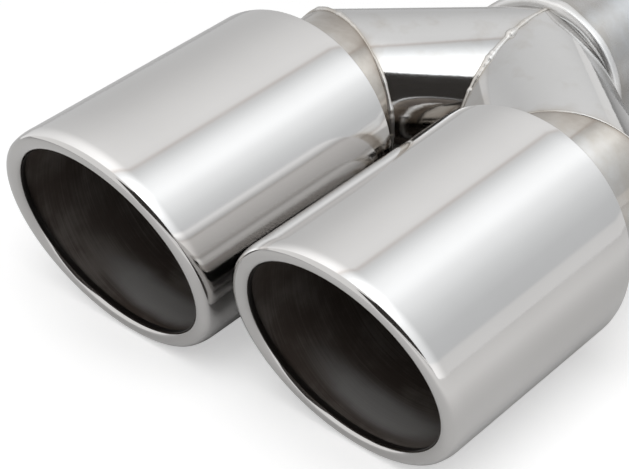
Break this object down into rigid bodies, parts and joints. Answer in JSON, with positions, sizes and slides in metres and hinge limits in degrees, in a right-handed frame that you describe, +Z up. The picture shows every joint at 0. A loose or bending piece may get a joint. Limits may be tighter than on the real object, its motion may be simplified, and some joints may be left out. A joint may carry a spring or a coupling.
{
  "type": "exhaust tailpipe",
  "caption": "Twin-tip weld-on exhaust tailpipe: round polished tips side by side with slanted rolled mouths, fed by a mitred Y of plain pipe.",
  "frame": {"origin": "centre of the inlet pipe's open end", "axes": "+Y back along the inlet pipe, out of its open end; the tips point to -Y; +Z up; +X towards the right tip"},
  "size_m": [0.186, 0.2472, 0.09],
  "materials": {
    "polished_steel": "mirror polished",
    "buffed_steel": "buffed, heat tinted near the welds",
    "weld_metal": "bright rippled weld"
  },
  "bodies": {
    "root": {"left_tip_sleeve": "polished_steel", "right_tip_sleeve": "polished_steel", "left_end_cap": "buffed_steel", "right_end_cap": "buffed_steel", "left_stub_pipe": "buffed_steel", "right_stub_pipe": "buffed_steel", "left_branch_pipe": "buffed_steel", "right_branch_pipe": "buffed_steel", "inlet_pipe": "buffed_steel", "left_cap_weld": "weld_metal", "right_cap_weld": "weld_metal", "left_mitre_weld": "weld_metal", "right_mitre_weld": "weld_metal", "centre_weld": "weld_metal", "inlet_weld": "weld_metal"}
  },
  "joints": []
}
